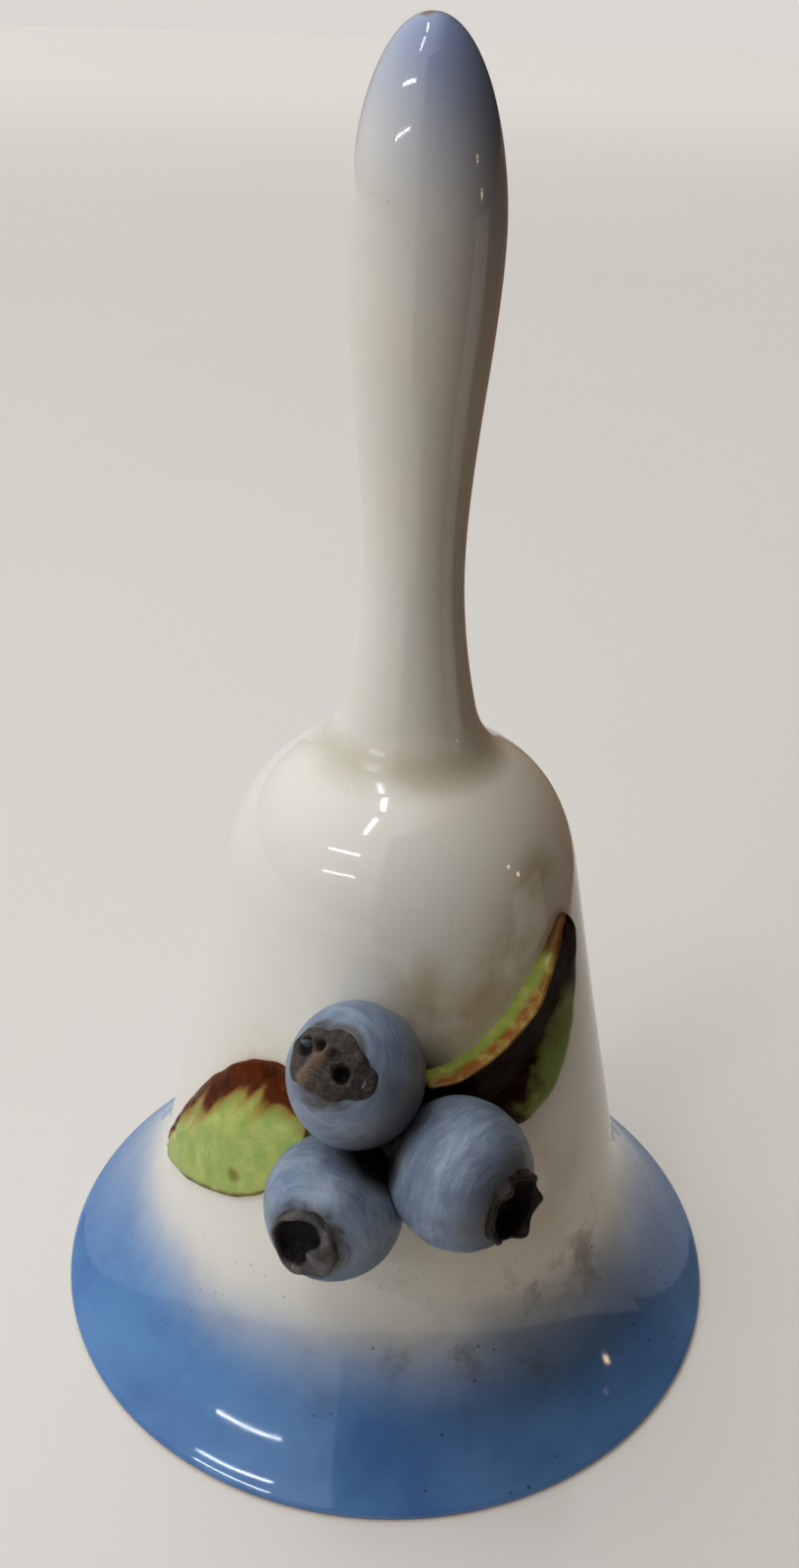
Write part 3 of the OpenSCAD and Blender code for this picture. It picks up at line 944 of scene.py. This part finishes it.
def make_pin(metal):
    """An eye pin: a ring, its shank through the bead, and the upset head under it."""
    low, high = box_mm("clapper_pin")
    bead_low = box_mm("clapper_bead")[0][2]
    wire = 0.5
    bend = 1.6
    eye = high[2] - wire - bend
    # The ring starts and ends at the shank, as an eye turned from one wire does
    shank = [[-0.1, eye - bend - 0.35], [0, eye - bend - 1.0], [0, bead_low - 0.1]]
    path = np.vstack([arc((0, eye), bend, -78, 262, 60), shank])
    ring = swept(in_plane(path, False), wire)
    head_r, head_low, head_high = 1.5, float(low[2]), bead_low - 0.02
    head = [[0, head_low], [head_r, head_low], [head_r, head_high], [0, head_high]]
    head = turned(rounded(head, 0.25), 48)
    points, faces = joined(ring, head)
    piece("clapper_pin", "clapper", points, faces, metal, ["clapper_pin"])


def make_bead():
    low, high = box_mm("clapper_bead")
    r = float(high[0])
    middle = float(low[2] + high[2]) / 2
    flat = float(high[2]) - middle
    bore = 0.54
    edge = math.degrees(math.asin(flat / r))
    outside = arc((0, middle), r, -edge, edge, 80)
    outline = np.vstack([outside, [[bore, middle + flat]], [[bore, middle - flat]]])
    outline = rounded(outline, 0.3, closed=True, least=0.5)
    points, faces = turned(outline, 128, closed=True)
    m = Shader("bead_glaze", Roughness=0.1, IOR=1.5)
    color = m.mix(m.span(m.noise(0.3, 4), 0.35, 0.65), srgb(236, 233, 224), srgb(220, 214, 200))
    # Grey rub marks round its middle, where such a bead strikes the wall
    worn = m.all_of(m.span(m.noise(0.8, 5, 0.7), 0.56, 0.68),
                    m.span(m.z, middle - 4, middle), m.span(m.z, middle + 4, middle), 0.5)
    paint = m.finish(m.mix(worn, color, srgb(150, 146, 138)), None, m.noise(0.5, 3), 0.08)
    points = wavy(points, 0.05, 9, 4)
    piece("clapper_bead", "clapper", points, faces, paint, ["clapper_bead"])


def make_cement():
    low, high = box_mm("cement_plug")
    r = float(high[0])
    sunk = [[0, low[2] + 0.5], [1.8, low[2] + 0.42], [3.0, low[2] + 0.15], [r, low[2]]]
    outline = through(sunk, 16).tolist() + [[r, high[2]], [0, high[2]]]
    points, faces = turned(rounded(outline, 0.2, least=0.7), 96)
    piece("cement_plug", "bell", wavy(points, 0.06, 8, 1.0), faces, cement(), ["cement_plug"])


# -------- stage, light and camera

def stage_mesh(name, points, faces, material):
    """An object in metres that is no part of the bell."""
    mesh = bpy.data.meshes.new(name)
    mesh.from_pydata(points, [], faces)
    mesh.materials.append(material)
    thing = bpy.data.objects.new(name, mesh)
    bpy.context.scene.collection.objects.link(thing)
    return thing


def card(name, centre, size, facing, material):
    """A flat panel in metres that faces a point, for light and reflections only."""
    w, h = size[0] / 2, size[1] / 2
    corners = [(-w, -h, 0), (w, -h, 0), (w, h, 0), (-w, h, 0)]
    thing = stage_mesh(name, corners, [[0, 1, 2, 3]], material)
    thing.location = centre
    thing.rotation_euler = (Vector(facing) - Vector(centre)).to_track_quat("Z", "Y").to_euler()
    thing.visible_camera = False
    return thing


def make_floor(material):
    """A flat round of paper, 5 m in radius."""
    points, faces = turned([(r, 0) for r in (0, 0.5, 1.5, 3, 5, 0)], 96)
    last = len(points) - 1
    # Without its closing fan, the turned shape is a disc
    disc = [face for face in faces if last not in face]
    thing = stage_mesh("floor", points[:last].tolist(), disc, material)
    mesh = thing.data
    work = bmesh.new()
    work.from_mesh(mesh)
    bmesh.ops.recalc_face_normals(work, faces=work.faces)
    if work.faces[0].normal.z < 0:
        bmesh.ops.reverse_faces(work, faces=work.faces)
    work.to_mesh(mesh)
    work.free()
    mesh.polygons.foreach_set("use_smooth", [True] * len(mesh.polygons))


def backdrop():
    """A pale dome that only the camera sees, so that every view has a plain background."""
    angles = np.linspace(-0.1, math.pi / 2, 24)
    points, faces = turned([(DOME_R * math.cos(a), DOME_R * math.sin(a)) for a in angles], 48)
    material = bpy.data.materials.new("backdrop")
    material.use_nodes = True
    shader = material.node_tree.nodes["Principled BSDF"]
    shader.inputs["Base Color"].default_value = (0, 0, 0, 1)
    shader.inputs["Specular IOR Level"].default_value = 0
    shader.inputs["Emission Color"].default_value = srgb(218, 214, 209)
    shader.inputs["Emission Strength"].default_value = 1
    thing = stage_mesh("backdrop", points.tolist(), faces, material)
    thing.data.polygons.foreach_set("use_smooth", [True] * len(thing.data.polygons))
    thing.visible_diffuse = thing.visible_glossy = thing.visible_transmission = False
    thing.visible_volume_scatter = thing.visible_shadow = False


DOME_R = 6.5


def tube_light(name, start, end, width, radiance, color=(1, 1, 1)):
    """A straight lamp between two points, in metres, that faces the bell."""
    start, end, bell = Vector(start), Vector(end), Vector((0, 0, 0.06))
    centre, span = (start + end) / 2, end - start
    light = bpy.data.lights.new(name, "AREA")
    light.shape = "RECTANGLE"
    light.size, light.size_y = span.length, width
    light.energy = radiance * math.pi * span.length * width
    light.color = color
    across = span.normalized()
    away = centre - bell
    away = (away - across * away.dot(across)).normalized()
    thing = bpy.data.objects.new(name, light)
    thing.matrix_world = Matrix((across, away.cross(across), away)).transposed().to_4x4()
    thing.location = centre
    bpy.context.scene.collection.objects.link(thing)


def mottled(m, light, dark):
    """Two near tones in patches wider than the bell."""
    return m.mix(m.span(m.noise(0.004, 3), 0.35, 0.65), light, dark)


def dark_paper():
    m = Shader("dark_card", Roughness=0.7)
    return m.finish(mottled(m, srgb(46, 30, 14), srgb(44, 29, 14)))


def brown_board():
    m = Shader("brown_board", Roughness=0.8)
    return m.finish(mottled(m, srgb(150, 122, 100), srgb(142, 114, 94)))


def floor_paper():
    """Off-white paper, a little brighter far behind the bell. It glows a little, which keeps
    the shade of the dark cards on it faint."""
    glow = (0.18, 0.176, 0.171, 1)
    m = Shader("floor_paper", Roughness=0.7, Emission_Color=glow, Emission_Strength=1.0)
    color = mottled(m, srgb(198, 195, 191), srgb(196, 193, 189))
    return m.finish(m.mix(m.span(m.y, 300, 2400), color, srgb(234, 231, 227)))


def make_world():
    """Bright to the left and above, dark to the right, as the room in the photograph is."""
    world = bpy.data.worlds.new("room")
    bpy.context.scene.world = world
    world.use_nodes = True
    tree = world.node_tree
    split = add_node(tree, "SeparateXYZ", {0: add_node(tree, "TexCoord", out="Generated")}).node
    across, _, up = split.outputs
    lean = add_node(tree, "Math", {0: up, 1: -0.45, 2: across}, operation="MULTIPLY_ADD")
    names = ("From Min", "From Max", "To Min", "To Max")
    side = add_node(tree, "MapRange", {"Value": lean, **dict(zip(names, WORLD_SIDE))},
                    interpolation_type="SMOOTHSTEP")
    high = add_node(tree, "MapRange", {"Value": up, **dict(zip(names, WORLD_HIGH))})
    power = add_node(tree, "Math", {0: side, 1: high}, operation="MULTIPLY")
    tones = {0: side, 6: (1.0, 0.78, 0.58, 1), 7: (1.0, 0.99, 0.975, 1)}
    tint = add_node(tree, "Mix", tones, out=2, data_type="RGBA")
    back = tree.nodes["Background"]
    tree.links.new(tint, back.inputs["Color"])
    tree.links.new(power, back.inputs["Strength"])


# Each maps a range of direction to a range of brightness: from low, high, to low, high
WORLD_SIDE = (0.12, -0.50, 0.04, 1.0)
WORLD_HIGH = (0.0, 1.0, 0.2, 1.47)


def make_camera():
    """Held at about the tip's height, looking down, and rolled by two degrees."""
    yaw, pitch, roll = (math.radians(a) for a in (-0.217, 28.41, -2.125))
    ahead = Vector((math.sin(yaw) * math.cos(pitch), math.cos(yaw) * math.cos(pitch), -math.sin(pitch)))
    right = Vector((math.cos(yaw), -math.sin(yaw), 0))
    down = ahead.cross(right)
    turn, rise = math.cos(roll), math.sin(roll)
    right, down = turn * right + rise * down, turn * down - rise * right
    camera = bpy.data.cameras.new("camera")
    camera.sensor_width = 36
    camera.sensor_fit = "AUTO"
    camera.lens = 33.75
    camera.clip_start = 0.01
    thing = bpy.data.objects.new("camera", camera)
    thing.matrix_world = Matrix((right, -down, -ahead)).transposed().to_4x4()
    thing.location = (0, -0.132482, 0.135446)
    bpy.context.scene.collection.objects.link(thing)
    bpy.context.scene.camera = thing


def develop():
    """Deeper, warmer shadows than the light alone gives, tuned by sampled colours."""
    view = bpy.context.scene.view_settings
    view.view_transform = "Standard"
    view.use_curve_mapping = True
    curves = view.curve_mapping.curves
    for curve, low, middle in zip(curves, SHADOW_TONES, MIDDLE_TONES):
        curve.points.new(0.1, low)
        curve.points.new(0.3, middle)
        curve.points.new(0.6, 0.6)
    view.curve_mapping.update()


# What linear 0.1 and 0.3 become in red, green and blue
SHADOW_TONES = (0.078, 0.072, 0.064)
MIDDLE_TONES = (0.272, 0.268, 0.258)


def make_stage():
    make_floor(floor_paper())
    backdrop()
    dark = dark_paper()
    # The right card only stops light from the floor beyond it
    right = card("right_card", (0.12, 0.05, 0.082), (0.24, 0.14), (0, 0.05, 0.082), dark)
    right.visible_glossy = right.visible_shadow = False
    # Only the glaze sees the brown board, which warms the right side of the handle and skirt
    board = card("brown_board", (0.094, 0.079, 0.066), (0.17, 0.13), (0, 0, 0.066), brown_board())
    board.visible_diffuse = board.visible_shadow = False
    card("side_card", (0.070, -0.085, 0.172), (0.13, 0.3), (0, 0, 0.172), dark)
    card("front_card", (0.045, -0.155, 0.2), (0.17, 0.34), (0.03, 0, 0.2), dark)
    tube_light("lamp_above", (-0.175, -0.09, 1.0), (-0.14, 0.19, 1.0), 0.035, 26)
    tube_light("lamp_before", (-0.40, -0.42, 1.0), (-0.24, -0.19, 1.0), 0.04, 26)
    tube_light("lamp_left", (-0.70, -0.40, 0.64), (-0.42, -0.60, 0.71), 0.025, 24)
    tube_light("lamp_low", (-0.75, -0.53, 0.39), (-0.47, -0.75, 0.47), 0.01, 34)
    warm = (1, 0.72, 0.45)
    tube_light("bulb_high", (0.92, -0.23, 0.30), (0.92, -0.20, 0.30), 0.03, 16, warm)
    tube_light("bulb_low", (0.96, -0.15, 0.17), (0.96, -0.12, 0.17), 0.03, 16, warm)
    make_world()
    make_camera()
    develop()


def make_bell():
    make_body()
    make_handle()
    make_leaves()
    for name in BERRIES:
        make_berry(name)
    make_crowns()
    metal = steel("wire")
    make_cement()
    make_staple(metal)
    for level in ("upper", "middle", "lower"):
        make_link("chain_link_" + level, "link_" + level, metal)
    make_pin(metal)
    make_bead()


make_bell()
make_stage()
